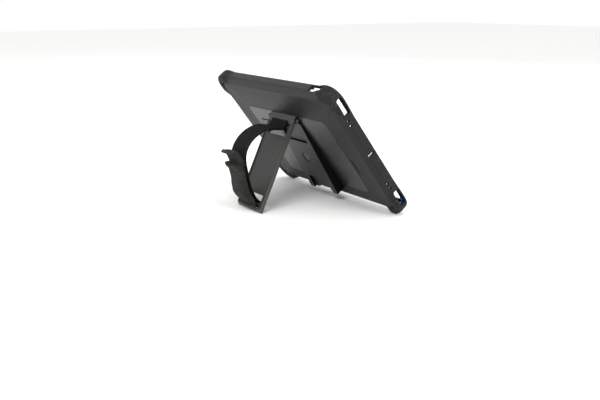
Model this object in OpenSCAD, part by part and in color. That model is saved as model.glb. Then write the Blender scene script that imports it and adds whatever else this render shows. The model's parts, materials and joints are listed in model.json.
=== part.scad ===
// Protective tablet case with a fold-out stand and a hand strap.
// The case is modelled lying on its front, back upwards, and then set standing on its stand:
// case frame: +X to the right seen from the back, +Y up the case, +Z out of the back, Z = 0 on the back.
// leaf frame: +X down the stand leaf from the hinge axis, +Y across it, +Z out of its strap side.

/* [Tablet] */
// Length of the tablet that the case holds
tablet_l = 250.6; // [230:0.1:300]
// Width of the tablet
tablet_w = 174.1; // [160:0.1:220]
// Thickness of the tablet
tablet_t = 7.5; // [6:0.1:10]

/* [Shell] */
// Gap between the tablet and the shell's side wall
side_gap = 2.2; // [2.1:0.1:4]
// Thickness of the side wall
wall = 3.5; // [3:0.1:5]
// Outer radius of the shell's corners
corner_r = 16; // [15:0.5:20]
// How far the lip reaches over the tablet's screen edge from the side wall
lip_in = 5.5; // [4:0.5:7]
// Thickness of the lip
lip_t = 1.8; // [1.5:0.1:3]
// Thickness of the shell's floor
floor_t = 2.6; // [2.4:0.1:4]
// Width of the bevel round the back
bevel_w = 9; // [5:0.5:9]
// Depth of the bevel round the back
bevel_h = 5; // [3:0.5:5]
// How far the corner bumpers stand out from the side wall
bumper_out = 3; // [2:0.5:5]
// How far the corner bumpers stand up from the back
bumper_up = 0.8; // [0.4:0.1:2]
// Straight length of each bumper beyond its round corner
bumper_leg = 9; // [5:1:14]
// Radius of the bumpers' edges
bumper_edge_r = 3; // [2:0.5:4]

/* [Openings] */
// Height of the side openings
slot_h = 6.5; // [4:0.5:7]
// Length of the two long openings in the top side
top_slot_l = 26; // [20:1:27]
// Distance of the long openings from the middle of the top side
top_slot_y = 71; // [65:1:72]
// Distance of the pairs of round holes from the middle of the top side
hole_pair_y = 49; // [40:1:50]
// Distance between the two holes of a pair
hole_pair_gap = 7; // [6:0.5:10]
// Radius of the round holes
hole_r = 1.6; // [1:0.1:2]
// Width of the microphone slit
slit_w = 3; // [2:0.5:5]
// Length of the volume key opening
volume_slot_l = 26; // [20:1:34]
// Distance of the volume key opening from the middle of the long side
volume_slot_x = 99; // [80:1:100]
// Length of the charging port opening
port_l = 15; // [12:1:20]
// Length of a speaker opening
speaker_l = 27; // [20:1:30]
// Distance of the speaker openings from the port
speaker_y = 44; // [38:1:52]

/* [Plates] */
// Length of the hard plate in the back
plate_l = 178; // [170:1:184]
// Height of the hard plate in the back
plate_h = 116; // [114:1:124]
// Place of the plate's middle on the case
plate_y = -9; // [-12:1:-8]
// Thickness of the hard plate
plate_t = 1.5; // [1.2:0.1:2]
// How far the plate stands out of the back
plate_proud = 0.3; // [0.1:0.1:1]
// Length cut from each corner of the plate
plate_cut = 5; // [4:1:14]
// Length of the slit for a pen loop in the plate
pen_slit_l = 26; // [20:1:30]
// Length of the vent slit in the shell beside the plate
vent_slit_l = 21; // [15:1:30]
// Width of the slits in the back
back_slit_w = 2.4; // [1.5:0.1:3]
// Length of the inner plate
inner_l = 148; // [140:1:160]
// Width of the inner plate
inner_w = 100; // [94:1:110]
// Thickness of the inner plate
inner_t = 1.4; // [1.2:0.1:2]
// Overlap of the inner plate and the shell's floor
inner_lap = 6; // [4:0.5:8]

/* [Pads] */
// Height of the blue pads that the tablet lies on
pad_h = 3; // [2:0.5:5]
// Size of a blue pad across the case's diagonal
pad_w = 33; // [28:1:36]
// Size of a blue pad along the case's diagonal
pad_d = 28; // [24:1:32]
// Thickness of the blue corner pads
corner_pad_t = 1.6; // [1:0.1:1.7]
// Angle that a corner pad covers
corner_pad_angle = 70; // [40:5:80]
// Height of the liner's ribs
rib_h = 2.2; // [1:0.1:2.5]
// Thickness of a rib
rib_t = 1.1; // [0.8:0.1:2]
// Ribs along a long side
long_ribs = 12; // [6:1:14]
// Ribs along a short side
short_ribs = 6; // [3:1:8]

/* [Stand] */
// Length of the stand leaf from the hinge axis to its foot
leaf_l = 120; // [112:1:130]
// Width of the stand leaf
leaf_w = 56; // [50:1:70]
// Thickness of the leaf's panel
leaf_t = 3; // [2.5:0.1:4]
// Height of the leaf's rim above its panel
rim_h = 1.2; // [0.5:0.1:2]
// Place of the hinge axis up the case
hinge_y = 44; // [40:1:44]
// Radius of the hinge barrel
barrel_r = 3; // [2.8:0.1:4]
// Radius of the hinge pin
pin_r = 1.2; // [1:0.1:1.5]
// Angle between the back and the folded leaf
wedge_angle = 5.6; // [4:0.1:7]
// Angle between the back and the leaf when it is open
open_angle = 61.4; // [50:0.1:70]
// Width of the dock that the leaf folds onto
dock_w = 61; // [55:1:75]
// Thickness of the dock's walls
dock_wall = 2.6; // [2:0.1:3]
// Distance of the magnet from the hinge axis
magnet_s = 63.4; // [55:0.1:70]
// Radius of the magnet
magnet_r = 7; // [5:0.5:9]

/* [Strap] */
// Width of the strap's webbing
strap_w = 36; // [30:1:40]
// Thickness of the webbing
strap_t = 1.6; // [1.2:0.1:2]
// Width of the padded sleeve
sleeve_w = 41; // [36:1:48]
// Thickness of the padded sleeve
sleeve_t = 6; // [4:0.5:8]

/* [Hidden] */
$fn = 48;
fit_gap = 0.2;      // between pieces that lie in each other
slide_gap = 0.4;    // between pieces that move past each other
pin_play = 0.05;    // between the pin and the barrel's bore
stop_gap = 0.15;    // between the open leaf's heel and the back plate
eps = 0.01;
big = 400;

// shell
out_l = tablet_l + 2 * (side_gap + wall);
out_w = tablet_w + 2 * (side_gap + wall);
inner_r = corner_r - wall;
core_l = out_l - 2 * corner_r;
core_w = out_w - 2 * corner_r;
seat_z = -floor_t - inner_t;            // inside face of the inner plate and of the liner
bed_z = seat_z - pad_h;                 // face that the tablet lies on
lip_z = bed_z - tablet_t - fit_gap;     // underside of the lip
front_z = lip_z - lip_t;
lip_edge_r = 2.5;
rebate_z = plate_proud - plate_t;       // bottom of the plate's seat in the floor
slot_z = bed_z - 1.6;                   // middle of the side openings
hole_z = slot_z + 2.6;
inner_corner_r = 18;
recess = 1.2;                           // depth of the recesses round the port, speakers and slit
pen_slit_at = [-60, 28];
vent_slit_at = [plate_l / 2 + 5, -22];
bumper_q = corner_r + bumper_out;
bumper_front = front_z + 0.4;

// hinge and leaf
hinge_z = plate_proud + barrel_r + 0.3;
leaf_in = -leaf_t / 2;
leaf_out = leaf_t / 2;
ear_t = (dock_w - leaf_w) / 2 - 0.6;
dock_top = leaf_in - slide_gap;
dock_start = 4.8;
dock_end = leaf_l - 2;
dock_hollow = [42, 96];                 // the part of the dock between the strap's two pockets
notch_r = 9;                            // finger notch in the dock's end
notch_w = 26;
boss_r = 3;
block_h = leaf_out + rim_h;
foot_r = leaf_t / 2;
web_in = leaf_in - strap_t / 2 - 0.1;   // middle of the webbing where it passes under the leaf's bars
pocket_depth = 2;

// slots in the leaf, as [start, end] distances from the hinge axis
top_slits = [[6.2, 9.2], [12, 22]];
foot_slits = [[leaf_l - 21, leaf_l - 11], [leaf_l - 7.5, leaf_l - 4.7]];
slit_half = strap_w / 2 + 2;

// the strap's line in the leaf frame, from its stitched end at the hinge to the one at the foot
strap_line = [[7.7, 4.6], [7.7, web_in], [13.4, web_in], [14.2, 3], [14.7, 10], [16.2, 17], [19.4, 24],
              [24.4, 30.2], [30.6, 35.6], [37.6, 39.8], [45, 42.6], [52.6, 43.8], [60, 43.2], [66, 41],
              [71, 38.2], [76.6, 34], [82.6, 29.4], [88.6, 24.8], [94.2, 20], [99.4, 14.8], [103.6, 9.2],
              [106.4, 3], [leaf_l - 12.6, web_in], [leaf_l - 6.1, web_in], [leaf_l - 6.1, 4.6]];
sleeve_line = [for (i = [14 : 21]) strap_line[i]];
tab_t = 2.2;
tab_root = offset_line(sleeve_line, strap_t / 2 + fit_gap + sleeve_t / 2)[0];
tab_line = [for (d = [[-0.03, 0.02], [-1.6, 1.2], [-3.6, 4], [-6, 8.4], [-8.8, 13], [-11.4, 17.4],
                      [-12.8, 21.6]]) tab_root + d];

// Standing pose: the bumpers' lower edge and the leaf's foot touch the floor
function leaf_point(s, n, a) = [hinge_y - s * cos(a) + n * sin(a), hinge_z + s * sin(a) + n * cos(a)];
bumper_c = [-(out_w / 2 - corner_r + bumper_q - bumper_edge_r), bumper_up - bumper_edge_r];
foot_c = leaf_point(leaf_l - foot_r, 0, open_angle);
foot_d = foot_c - bumper_c;
lean = atan2(foot_d[1], foot_d[0]) + asin((foot_r - bumper_edge_r) / norm(foot_d));
function world_y(p) = p[0] * cos(lean) + p[1] * sin(lean);
function world_z(p) = p[0] * sin(lean) - p[1] * cos(lean);
lip_c = [bumper_c[0], bumper_front + bumper_edge_r];
y_low = world_y(lip_c) - bumper_edge_r;
y_high = max([for (p = band(tab_line, tab_t)) world_y(leaf_point(p[0], p[1], open_angle))]);
stand_y = -(y_low + y_high) / 2;
stand_z = bumper_edge_r - world_z(bumper_c);

// Outline of a band of thickness t along the points p
function unit(v) = v / norm(v);
function side_at(p, i) = let (a = unit(p[max(i, 1)] - p[max(i, 1) - 1]),
                              b = unit(p[min(i + 1, len(p) - 1)] - p[min(i, len(p) - 2)]),
                              m = unit(a + b))
                         [-m[1], m[0]] / max(0.6, cross(m, a) == 0 ? 1 : m * a);
function offset_line(p, d) = [for (i = [0 : len(p) - 1]) p[i] + d * side_at(p, i)];
function reversed(p) = [for (i = [len(p) - 1 : -1 : 0]) p[i]];
function band(p, t) = concat(offset_line(p, t / 2), reversed(offset_line(p, -t / 2)));
function arc(c, r, a0, a1, n) = [for (i = [0 : n]) c + r * [cos(a0 + (a1 - a0) * i / n), sin(a0 + (a1 - a0) * i / n)]];

module standing() {
    translate([0, stand_y, stand_z]) rotate([180 + lean, 0, 0]) rotate([0, 0, 180]) children();
}
module leaf_frame(angle) {
    translate([0, hinge_y, hinge_z]) rotate([-angle, 0, 0]) rotate([0, 0, -90]) children();
}
module rounded(l, w, r) {
    square([l - 2 * r, w], center = true);
    square([l, w - 2 * r], center = true);
    for (x = [-1, 1], y = [-1, 1]) translate([x * (l / 2 - r), y * (w / 2 - r)]) circle(r);
}
module slab(z0, z1) { translate([0, 0, z0]) linear_extrude(z1 - z0) children(); }
module corners() {
    for (k = [0 : 3]) let (sx = (k == 0 || k == 3) ? 1 : -1, sy = k < 2 ? 1 : -1)
        translate([sx * core_l / 2, sy * core_w / 2]) rotate(90 * k) children();
}

// A closed ring of the profile (distance out from the corner centres, height) round the case
module ring() {
    corners() rotate_extrude(angle = 90) children();
    for (s = [0, 180]) rotate(s) {
        translate([-core_l / 2, core_w / 2, 0]) rotate([90, 0, 90]) linear_extrude(core_l) children();
        translate([core_l / 2, core_w / 2, 0]) rotate([90, 0, 0]) linear_extrude(core_w) children();
    }
}
module shell_profile() {
    polygon(concat([[0, -floor_t], [0, 0], [corner_r - bevel_w, 0], [corner_r, -bevel_h]],
        arc([corner_r - lip_edge_r, front_z + lip_edge_r], lip_edge_r, 0, -90, 5),
        [[inner_r - lip_in + 0.6, front_z], [inner_r - lip_in, front_z + 0.6],
         [inner_r - lip_in, lip_z], [inner_r, lip_z], [inner_r, -floor_t]]));
}
module bumper_profile() {
    polygon(concat([[6, 0.6 - floor_t], [6, -0.4], [7.6, bumper_up]],
        arc([bumper_q - bumper_edge_r, bumper_up - bumper_edge_r], bumper_edge_r, 90, 0, 6),
        arc([bumper_q - bumper_edge_r, bumper_front + bumper_edge_r], bumper_edge_r, 0, -90, 6),
        [[inner_r + 0.4, bumper_front], [inner_r + 0.4, 0.6 - floor_t]]));
}
module bumper() {
    rotate_extrude(angle = 90) bumper_profile();
    rotate([90, 0, 0]) linear_extrude(bumper_leg) bumper_profile();
    translate([-bumper_leg, 0, 0]) rotate([90, 0, 90]) linear_extrude(bumper_leg) bumper_profile();
}
module side_slot(l, h, depth) {
    rotate([90, 0, 90]) linear_extrude(depth, center = true) rounded(l, h, h / 2 - eps);
}
module side_openings() {
    deep = 2 * (bumper_q + 8);
    for (s = [-1, 1]) {
        translate([out_l / 2, s * top_slot_y, slot_z]) side_slot(top_slot_l, slot_h, deep - 2 * corner_r);
        for (d = [-1, 1]) translate([out_l / 2, s * hole_pair_y + d * hole_pair_gap / 2, hole_z])
            rotate([0, 90, 0]) cylinder(r = hole_r, h = deep - 2 * corner_r, center = true);
        translate([-out_l / 2, s * speaker_y, slot_z]) side_slot(speaker_l - 4, slot_h - 2, 20);
        translate([-out_l / 2 - 10 + recess, s * speaker_y, slot_z + 1]) cube([20, speaker_l, slot_h + 4], center = true);
    }
    translate([out_l / 2, 0, slot_z]) side_slot(slot_h + 2, slit_w, 20);
    translate([out_l / 2 + 10 - recess, 0, slot_z + 2]) cube([20, slit_w, 14], center = true);
    translate([-out_l / 2, 0, slot_z]) side_slot(port_l, slot_h, 20);
    translate([-out_l / 2 - 10 + recess, 0, slot_z + 1]) cube([20, port_l + 6, slot_h + 4], center = true);
    translate([volume_slot_x, out_w / 2, slot_z]) rotate(90) side_slot(volume_slot_l, slot_h, 20);
}
module plate_outline(grow) {
    l = plate_l / 2 + grow;
    h = plate_h / 2 + grow;
    c = plate_cut;
    translate([0, plate_y]) polygon([[l - c, -h], [l, -h + c], [l, h - c], [l - c, h],
                                     [-l + c, h], [-l, h - c], [-l, -h + c], [-l + c, -h]]);
}
module outer_shell() {
    color("#3c3d3b") standing() difference() {
        union() {
            ring() shell_profile();
            slab(-floor_t, 0) square([core_l, core_w], center = true);
            corners() bumper();
        }
        slab(rebate_z, 1) plate_outline(fit_gap);
        slab(-floor_t - 1, 1) rounded(inner_l - 2 * inner_lap, inner_w - 2 * inner_lap, inner_corner_r - inner_lap);
        translate([vent_slit_at[0], vent_slit_at[1], 0])
            cube([back_slit_w, vent_slit_l, 2], center = true);
        side_openings();
    }
}

// Black liner of the tray's floor: ribs fan out from the inner plate to the side walls
module rib(p, q, h) {
    d = q - p;
    translate([p[0], p[1], seat_z]) rotate([90, 0, atan2(d[1], d[0])])
        linear_extrude(rib_t, center = true) polygon([[0, 0.2], [0, -0.4], [norm(d), -h], [norm(d), 0.2]]);
}
module ribs() {
    edge_x = out_l / 2 - wall - 1.2;
    edge_y = out_w / 2 - wall - 1.2;
    foot_x = inner_l / 2 + 3;
    foot_y = inner_w / 2 + 3;
    for (s = [-1, 1], i = [0 : long_ribs - 1]) let (t = (i + 0.5) / long_ribs * 2 - 1)
        rib([t * (foot_x - 27), s * foot_y], [t * (edge_x - 24) + 2, s * edge_y], rib_h);
    for (i = [0 : short_ribs - 1]) let (t = (i + 0.5) / short_ribs * 2 - 1)
        rib([-foot_x, t * (foot_y - 20)], [-edge_x, t * (edge_y - 20) + 2], rib_h);
    for (s = [-1, 1], i = [0 : 1]) rib([foot_x, s * (8 + 9 * i)], [edge_x, s * (11 + 12 * i)], rib_h);
}
module shock_liner() {
    color("#1d1e1e") standing() {
        slab(seat_z, -floor_t) difference() {
            rounded(out_l - 2 * wall - 2 * fit_gap, out_w - 2 * wall - 2 * fit_gap, inner_r - fit_gap);
            rounded(inner_l + 2 * fit_gap, inner_w + 2 * fit_gap, inner_corner_r);
        }
        ribs();
    }
}

// Four screws hold the inner plate to the bosses of the back plate
screw_at = [for (x = [-1, 1], y = [-1, 1]) [x * (inner_l / 2 - 12), y * (inner_w / 2 - 12)]];
screw_r = 1.1;
screw_head_r = 2.4;
screw_head_h = 1.2;
module back_plate() {
    color("#2b2c2b") standing() difference() {
        union() {
            slab(rebate_z, plate_proud) plate_outline(0);
            for (p = screw_at) translate([p[0], p[1], -floor_t]) cylinder(r = boss_r, h = floor_t + rebate_z + eps);
        }
        for (p = screw_at) translate([p[0], p[1], -floor_t - 1]) cylinder(r = screw_r + 0.02, h = 1 + floor_t - 0.4);
        for (p = dock_screw_at) translate([p[0], p[1], -5]) cylinder(r = dock_screw_r + 0.1, h = 10);
        translate([pen_slit_at[0], pen_slit_at[1], 0]) cube([pen_slit_l, back_slit_w, 5], center = true);
    }
}
module inner_plate() {
    color("#232424") standing() difference() {
        slab(seat_z, -floor_t) rounded(inner_l, inner_w, inner_corner_r);
        slab(seat_z - 1, seat_z + 0.7) difference() {
            rounded(inner_l - 6, inner_w - 6, inner_corner_r - 3);
            rounded(inner_l - 14, inner_w - 14, inner_corner_r - 7);
        }
        for (p = screw_at) translate([p[0], p[1], seat_z]) {
            translate([0, 0, -eps]) cylinder(r1 = screw_head_r + 0.05, r2 = screw_r + 0.1, h = screw_head_h);
            cylinder(r = screw_r + 0.1, h = 5);
        }
    }
}
module plate_screws() {
    color("#a8a8a8") standing() for (p = screw_at) translate([p[0], p[1], seat_z]) {
        translate([0, 0, 0.75]) cylinder(r = screw_r, h = inner_t + floor_t - 1.4);
        difference() {
            cylinder(r1 = screw_head_r, r2 = screw_r, h = screw_head_h);
            for (a = [0, 90]) rotate(a) cube([2.4, 0.6, 1.1], center = true);
        }
    }
}
module rating_label() {
    color("#e6e6e2") standing() slab(seat_z - 0.15, seat_z) rounded(58, 56, 1.5);
}

// Blue pads: a clipped wedge on each corner of the inner plate, pointing at the case's corner
pad_x = 67;
pad_y = 43;
stem_w = 6;
stem_h = 1.8;
module pad_outline(k) {
    w = pad_w / 2 * k;
    d = pad_d / 2 * k;
    polygon([[-d, -w * 0.5], [-d * 0.45, -w], [-d * 0.05, -w], [d, -w * 0.36],
             [d, w * 0.36], [-d * 0.05, w], [-d * 0.45, w], [-d, w * 0.5]]);
}
module floor_pad(sx, sy) {
    reach = [core_l / 2 - pad_x, core_w / 2 - pad_y];
    stem_end = norm(reach) + inner_r - corner_pad_t - 1;
    color("#3f8fe0") standing() translate([sx * pad_x, sy * pad_y, 0])
        rotate(atan2(sy * reach[1], sx * reach[0])) {
            slab(bed_z + 0.8, seat_z) pad_outline(1);
            slab(bed_z, bed_z + 0.8) pad_outline(0.92);
            slab(seat_z - stem_h, seat_z) translate([0, -stem_w / 2]) square([stem_end, stem_w]);
        }
}
// Blue corner pads line the corners' inner wall, and are cut away where a side opening comes near
module corner_pad(k) {
    sx = (k == 0 || k == 3) ? 1 : -1;
    sy = k < 2 ? 1 : -1;
    half = corner_pad_angle / 2;
    pad_top = seat_z - 1;
    color("#3f8fe0") standing() difference() {
        translate([sx * core_l / 2, sy * core_w / 2]) rotate(90 * k + 45 - half)
            rotate_extrude(angle = corner_pad_angle)
                polygon([[inner_r - fit_gap - corner_pad_t, pad_top], [inner_r - fit_gap, pad_top],
                         [inner_r - fit_gap, lip_z + 0.4], [inner_r - fit_gap - corner_pad_t, lip_z + 0.4]]);
        translate([out_l / 2, sy * top_slot_y, (pad_top + slot_z - slot_h / 2) / 2])
            cube([2 * bumper_q, top_slot_l + 1, pad_top - slot_z + slot_h / 2 + 1], center = true);
    }
}

// The dock: a hollow wedge that carries the hinge, and that the leaf folds onto
dock_screw_r = 1.1;
dock_screw_at = [for (x = [-1, 1], y = [-4, -40]) [x * 24, y]];
module dock_side(inset, drop, s0, s1) {
    p = [leaf_point(s0, dock_top - drop, wedge_angle), leaf_point(s1, dock_top - drop, wedge_angle)];
    base = plate_proud - (inset ? 1 : 0);
    translate([-dock_w / 2 + inset, 0, 0]) rotate([90, 0, 90]) linear_extrude(dock_w - 2 * inset)
        polygon([[p[0][0], base], p[0], p[1], [p[1][0], base]]);
}
module leaf_box(s0, s1, half, n0, n1) {
    translate([s0, -half, n0]) cube([s1 - s0, 2 * half, n1 - n0]);
}
module stand_dock() {
    color("#2b2c2b") standing() difference() {
        union() {
            dock_side(0, 0, dock_start, dock_end);
            for (s = [-1, 1]) translate([s * (dock_w / 2 - ear_t / 2), hinge_y, 0]) {
                translate([0, 0, hinge_z]) rotate([0, 90, 0]) cylinder(r = barrel_r, h = ear_t, center = true);
                translate([0, -2, (hinge_z + plate_proud) / 2])
                    cube([ear_t, 8, hinge_z - plate_proud], center = true);
            }
        }
        difference() {
            dock_side(dock_wall, dock_wall, dock_hollow[0], dock_hollow[1]);
            for (p = dock_screw_at) translate([p[0], p[1], -1]) cylinder(r = boss_r, h = 30);
        }
        for (p = dock_screw_at) translate([p[0], p[1], -1]) cylinder(r = dock_screw_r + 0.02, h = 4.6);
        leaf_frame(wedge_angle) {
            rotate([90, 0, 0]) cylinder(r = barrel_r + slide_gap, h = leaf_w + 1.2, center = true);
            rotate([90, 0, 0]) cylinder(r = pin_r + 0.02, h = big, center = true);
            leaf_box(4, 37, slit_half + 3, dock_top - pocket_depth, big);
            leaf_box(leaf_l - 23, leaf_l + 1, slit_half + 1, dock_top - pocket_depth - 1, big);
            translate([magnet_s, 0, dock_top - 1.8]) cylinder(r = magnet_r + 0.3, h = 10);
            translate([leaf_l + 3, 0, dock_top - 5]) rotate([90, 0, 0]) cylinder(r = notch_r, h = notch_w, center = true);
        }
    }
}
module dock_screws() {
    color("#a8a8a8") standing() for (p = dock_screw_at) translate([p[0], p[1], rebate_z - 1.2]) {
        cylinder(r = dock_screw_r, h = 1.2 - rebate_z + plate_proud + 2.8);
        difference() {
            cylinder(r = 2.2, h = 1.15);
            for (a = [0, 90]) rotate(a) cube([2.6, 0.6, 1.2], center = true);
        }
    }
}
module dock_magnet() {
    color("#8c8f92") standing() leaf_frame(wedge_angle)
        translate([magnet_s, 0, dock_top - 1.78]) cylinder(r = magnet_r, h = 1);
}
module hinge_pin() {
    color("#a8a8a8") standing() leaf_frame(wedge_angle) rotate([90, 0, 0]) {
        cylinder(r = pin_r, h = dock_w + 0.2, center = true);
        for (s = [-1, 1]) translate([0, 0, s * (dock_w / 2 + 0.5)]) cylinder(r = 2.1, h = 0.8, center = true);
    }
}
module hinge_washers() {
    color("#d8d6cf") standing() leaf_frame(wedge_angle) rotate([90, 0, 0])
        for (s = [-1, 1]) translate([0, 0, s * (leaf_w / 2 + 0.3)]) difference() {
            cylinder(r = barrel_r - 0.3, h = 0.5, center = true);
            cylinder(r = pin_r + pin_play, h = 1, center = true);
        }
}

// The heel of the hinge block lies against the back plate when the leaf is open, and stops it there
function heel_s(n) = -(hinge_z - plate_proud - stop_gap + n * cos(open_angle)) / sin(open_angle);

// The stand leaf: a rimmed panel with a square hinge block, and slots that the strap is threaded through
module stand_leaf() {
    color("#333433") standing() leaf_frame(open_angle) difference() {
        union() {
            leaf_box(0, leaf_l - foot_r, leaf_w / 2, leaf_in, block_h);
            translate([leaf_l - foot_r, 0, 0]) rotate([90, 0, 0]) cylinder(r = foot_r, h = leaf_w, center = true);
            rotate([90, 0, 0]) cylinder(r = barrel_r, h = leaf_w, center = true);
            rotate([90, 0, 0]) linear_extrude(leaf_w, center = true)
                polygon([[0, 0], [heel_s(0), 0], [heel_s(block_h), block_h], [6, block_h], [6, 0]]);
        }
        leaf_box(6, leaf_l - 3.2, leaf_w / 2 - 1.6, leaf_out, block_h + 1);
        for (s = concat(top_slits, foot_slits)) leaf_box(s[0], s[1], slit_half, -5, 10);
        rotate([90, 0, 0]) cylinder(r = pin_r + pin_play, h = big, center = true);
        translate([magnet_s, 0, leaf_in - eps]) cylinder(r = magnet_r + 0.05, h = 1.05);
    }
}
module keeper_disc() {
    color("#a8a8a8") standing() leaf_frame(open_angle)
        translate([magnet_s, 0, leaf_in]) cylinder(r = magnet_r, h = 1);
}

// The hand strap: webbing threaded through the leaf, a padded sleeve and a hook-and-loop tab
module strap_band(points, width) {
    translate([0, width / 2, 0]) rotate([90, 0, 0]) linear_extrude(width) polygon(points);
}
module strap_webbing() {
    color("#161616") standing() leaf_frame(open_angle) strap_band(band(strap_line, strap_t), strap_w);
}
module strap_sleeve() {
    inner = offset_line(sleeve_line, strap_t / 2 + fit_gap);
    outer = offset_line(sleeve_line, strap_t / 2 + fit_gap + sleeve_t);
    color("#3a3a38") standing() leaf_frame(open_angle) strap_band(concat(inner, reversed(outer)), sleeve_w);
}
module strap_tab() {
    color("#30302f") standing() leaf_frame(open_angle) strap_band(band(tab_line, tab_t), strap_w + 2);
}

outer_shell();
shock_liner();
back_plate();
inner_plate();
rating_label();
floor_pad(1, 1);  // floor_pad_1
floor_pad(-1, 1);  // floor_pad_2
floor_pad(-1, -1);  // floor_pad_3
floor_pad(1, -1);  // floor_pad_4
corner_pad(0);  // corner_pad_1
corner_pad(1);  // corner_pad_2
corner_pad(2);  // corner_pad_3
corner_pad(3);  // corner_pad_4
plate_screws();
dock_screws();
stand_dock();
dock_magnet();
hinge_pin();
hinge_washers();
stand_leaf();
keeper_disc();
strap_webbing();
strap_sleeve();
strap_tab();
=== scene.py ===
import json
import math

import bmesh
import bpy
import numpy as np
from mathutils import Matrix


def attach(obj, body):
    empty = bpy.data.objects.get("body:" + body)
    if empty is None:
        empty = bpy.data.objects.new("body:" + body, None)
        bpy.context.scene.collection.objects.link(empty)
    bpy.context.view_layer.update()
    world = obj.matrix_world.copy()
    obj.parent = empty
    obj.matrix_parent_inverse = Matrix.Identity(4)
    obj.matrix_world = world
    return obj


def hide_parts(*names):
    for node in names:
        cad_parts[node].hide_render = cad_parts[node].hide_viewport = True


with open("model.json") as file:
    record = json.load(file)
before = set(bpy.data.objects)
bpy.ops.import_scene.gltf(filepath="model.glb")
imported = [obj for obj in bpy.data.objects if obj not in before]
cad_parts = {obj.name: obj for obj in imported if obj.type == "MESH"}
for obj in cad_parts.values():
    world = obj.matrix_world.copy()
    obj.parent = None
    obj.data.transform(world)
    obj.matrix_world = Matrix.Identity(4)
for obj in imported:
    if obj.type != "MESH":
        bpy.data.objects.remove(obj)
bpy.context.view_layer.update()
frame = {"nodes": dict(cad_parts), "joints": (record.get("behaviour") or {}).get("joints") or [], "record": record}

# ---------------------------------------------------------------- where things are
# The case leans back on its stand. Two frames, both in millimetres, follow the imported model:
# case frame: x to the right seen from behind, y up the case, z out of the back; the back lies at z = 0.
# leaf frame: x down the stand leaf from the hinge axis, y across it, z out of its strap side.
mounts = {m["name"]: m for m in frame["record"]["mounts"]}
hinge = np.array(frame["joints"][0]["pos_m"])
out_of_back = -np.array(mounts["front_rim"]["axis"])
up_the_case = np.array([0.0, -out_of_back[2], out_of_back[1]])
right = np.array([-1.0, 0.0, 0.0])
HINGE_Y, HINGE_Z = 44.0, 3.6
OPEN_ANGLE = math.radians(61.4)
case_axes = np.array([right, up_the_case, out_of_back])
case_origin = hinge - (HINGE_Y * up_the_case + HINGE_Z * out_of_back) / 1000
down_leaf = math.sin(OPEN_ANGLE) * out_of_back - math.cos(OPEN_ANGLE) * up_the_case
out_of_leaf = math.cos(OPEN_ANGLE) * out_of_back + math.sin(OPEN_ANGLE) * up_the_case
leaf_axes = np.array([down_leaf, right, out_of_leaf])


def in_case(points):
    """World place in metres of points in the case frame: origin plus each coordinate along its axis."""
    return case_origin + np.asarray(points, float) @ case_axes / 1000


def in_leaf(points):
    """World place in metres of points given in the leaf frame."""
    return hinge + np.asarray(points, float) @ leaf_axes / 1000


# ---------------------------------------------------------------- camera
# Behind the case and to its left, a little above it, with a normal lens.
camera = bpy.data.objects.new("camera", bpy.data.cameras.new("camera"))
bpy.context.scene.collection.objects.link(camera)
bpy.context.scene.camera = camera
camera.data.sensor_width = 36
camera.data.lens = 45.9
view_azimuth, view_elevation, view_roll = np.radians([236.85, 14.63, 0.06])
away = np.array([math.sin(view_azimuth) * math.cos(view_elevation),
                 -math.cos(view_azimuth) * math.cos(view_elevation), math.sin(view_elevation)])
level = np.cross([0, 0, 1], away)
level /= np.linalg.norm(level)
raised = np.cross(away, level)
turned = np.array([level * math.cos(view_roll) - raised * math.sin(view_roll),
                   level * math.sin(view_roll) + raised * math.cos(view_roll), away])
place = np.eye(4)
place[:3, :3] = turned.T
place[:3, 3] = hinge + [-0.8021, 0.4995, 0.1415]
camera.matrix_world = Matrix(place)
camera.data.clip_start = 0.01

# ---------------------------------------------------------------- outer shell
# The rubber tray that wraps the tablet, moulded in one piece from black TPU. Its back is smooth with
# a wide bevel, its side walls and the four swollen corner bumpers have a fine pebbled grain.
CORE_X, CORE_Y = 115.0, 76.75
WALL_OUT, WALL_IN = 16.0, 12.5
FLOOR, FRONT, LIP = -2.6, -16.5, -14.7
REBATE = -1.2
BUMPER_LEG, BUMPER_FADE, BUMPER_FADE_SHORT_SIDE = 3.5, 15.0, 27.0
BUMPER_OUT, BUMPER_RISE = 19.0, 0.75
DIMPLE_DEPTH, DIMPLE_SPREAD, DIMPLE_OUT = 2.3, 2.4, 5.4
SLOT_Z = -8.6


def along_rim(arc_steps, long_steps, short_steps):
    """Stations round a rounded rectangle: corner centre c and outward direction n of each, so that a ring
    at distance q is c + q n, and each station's distance from the nearest corner arc. Straights are
    sampled more closely near the corners by a cosine rule."""
    centres, normals, reach = [], [], []
    signs = np.array([[1, 1], [-1, 1], [-1, -1], [1, -1]])
    for k in range(4):
        here, there = signs[k] * [CORE_X, CORE_Y], signs[(k + 1) % 4] * [CORE_X, CORE_Y]
        angle = np.radians(90 * k + np.linspace(0, 90, arc_steps + 1))
        centres.append(np.repeat([here], arc_steps + 1, 0))
        normals.append(np.stack([np.cos(angle), np.sin(angle)], 1))
        reach.append(np.zeros(arc_steps + 1))
        steps = long_steps if k % 2 == 0 else short_steps
        share = (1 - np.cos(np.pi * np.arange(1, steps) / steps)) / 2
        share = share[:, None]
        centres.append(here + share * (there - here))
        normals.append(np.repeat(normals[-1][-1:], steps - 1, 0))
        length = np.linalg.norm(there - here)
        reach.append(np.minimum(share[:, 0], 1 - share[:, 0]) * length)
    return np.concatenate(centres), np.concatenate(normals), np.concatenate(reach)


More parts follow.
